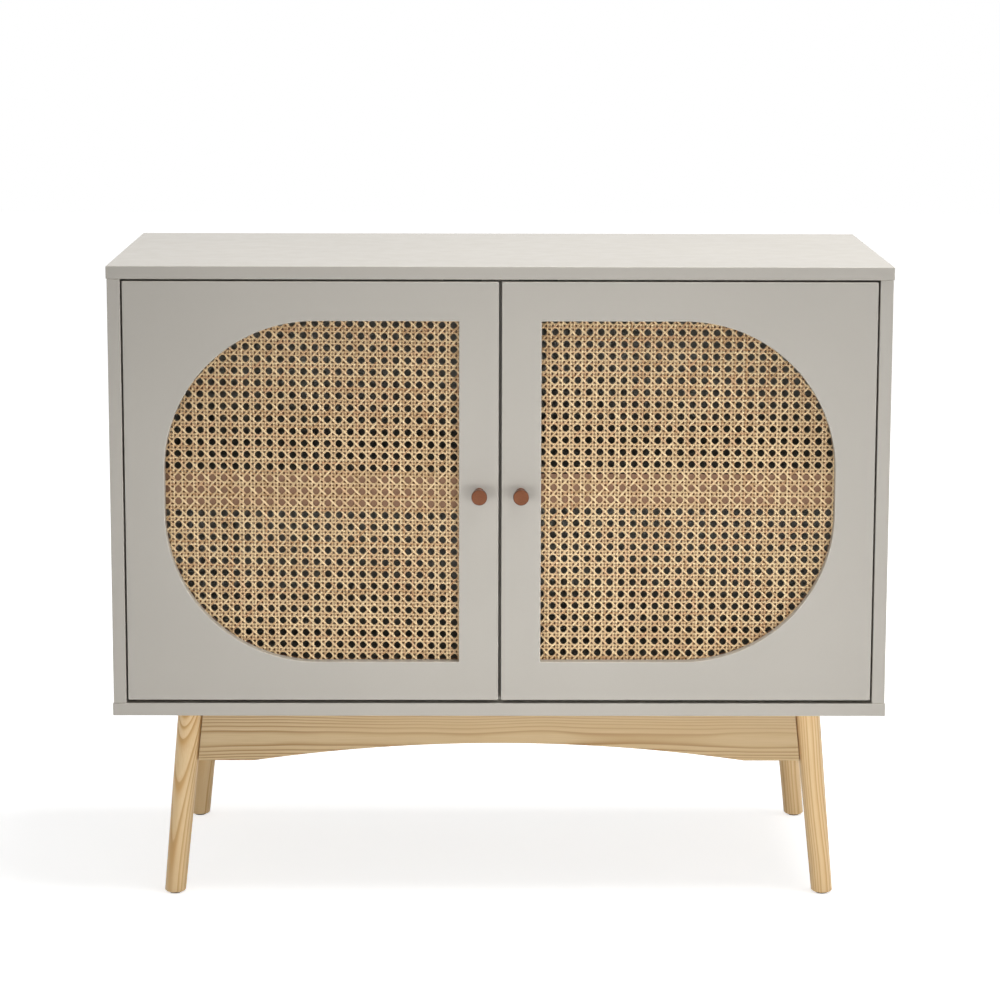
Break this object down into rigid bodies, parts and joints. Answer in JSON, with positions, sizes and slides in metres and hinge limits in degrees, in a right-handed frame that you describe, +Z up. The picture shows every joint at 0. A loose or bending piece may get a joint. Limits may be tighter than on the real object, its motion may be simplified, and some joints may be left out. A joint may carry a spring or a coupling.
{
  "type": "sideboard",
  "caption": "Low cupboard with two hinged doors that have D-shaped woven cane windows, one shelf a side, and a pine frame with splayed round legs.",
  "frame": {"origin": "on the floor under the middle of the whole part, knobs included", "axes": "+X to the right of someone facing the doors, +Y to the back, +Z up"},
  "size_m": [0.9, 0.4302, 0.75],
  "materials": {
    "lacquered_board": "satin warm grey lacquer on board",
    "hardboard": "painted hardboard",
    "raw_board": "raw brown fibreboard",
    "pine": "clear matt oil on pine",
    "cane": "natural woven cane",
    "copper_brown": "satin copper brown",
    "hinge_steel": "nickel plated",
    "dark_plastic": "matt dark plastic"
  },
  "bodies": {
    "root": {"top_panel": "lacquered_board", "bottom_panel": "lacquered_board", "left_side_panel": "lacquered_board", "right_side_panel": "lacquered_board", "centre_partition": "lacquered_board", "back_panel": "hardboard", "left_shelf": "lacquered_board", "right_shelf": "lacquered_board", "left_shelf_pin_1": "hinge_steel", "left_shelf_pin_2": "hinge_steel", "left_shelf_pin_3": "hinge_steel", "left_shelf_pin_4": "hinge_steel", "right_shelf_pin_1": "hinge_steel", "right_shelf_pin_2": "hinge_steel", "right_shelf_pin_3": "hinge_steel", "right_shelf_pin_4": "hinge_steel", "left_catch": "dark_plastic", "right_catch": "dark_plastic", "left_lower_hinge_arm": "hinge_steel", "left_upper_hinge_arm": "hinge_steel", "left_lower_hinge_plate": "hinge_steel", "left_upper_hinge_plate": "hinge_steel", "right_lower_hinge_arm": "hinge_steel", "right_upper_hinge_arm": "hinge_steel", "right_lower_hinge_plate": "hinge_steel", "right_upper_hinge_plate": "hinge_steel", "front_left_leg": "pine", "front_right_leg": "pine", "back_left_leg": "pine", "back_right_leg": "pine", "front_left_foot_glide": "dark_plastic", "front_right_foot_glide": "dark_plastic", "back_left_foot_glide": "dark_plastic", "back_right_foot_glide": "dark_plastic", "front_left_corner_block": "pine", "front_right_corner_block": "pine", "back_left_corner_block": "pine", "back_right_corner_block": "pine", "front_apron": "pine", "back_apron": "pine", "left_rail": "pine", "right_rail": "pine"},
    "left_door": {"left_door_frame": "lacquered_board", "left_cane": "cane", "left_cane_retainer": "raw_board", "left_knob": "copper_brown", "left_knob_screw": "hinge_steel", "left_strike_plate": "hinge_steel", "left_lower_hinge_cup": "hinge_steel", "left_upper_hinge_cup": "hinge_steel"},
    "right_door": {"right_door_frame": "lacquered_board", "right_cane": "cane", "right_cane_retainer": "raw_board", "right_knob": "copper_brown", "right_knob_screw": "hinge_steel", "right_strike_plate": "hinge_steel", "right_lower_hinge_cup": "hinge_steel", "right_upper_hinge_cup": "hinge_steel"}
  },
  "joints": [
    {"name": "left_door_hinge", "type": "hinge", "parent": "root", "child": "left_door", "pos_m": [-0.4188, -0.17785, 0.4878], "axis": [0, 0, -1], "range_deg": [0, 110]},
    {"name": "right_door_hinge", "type": "hinge", "parent": "root", "child": "right_door", "pos_m": [0.4188, -0.17785, 0.4878], "axis": [0, 0, 1], "range_deg": [0, 110]}
  ]
}
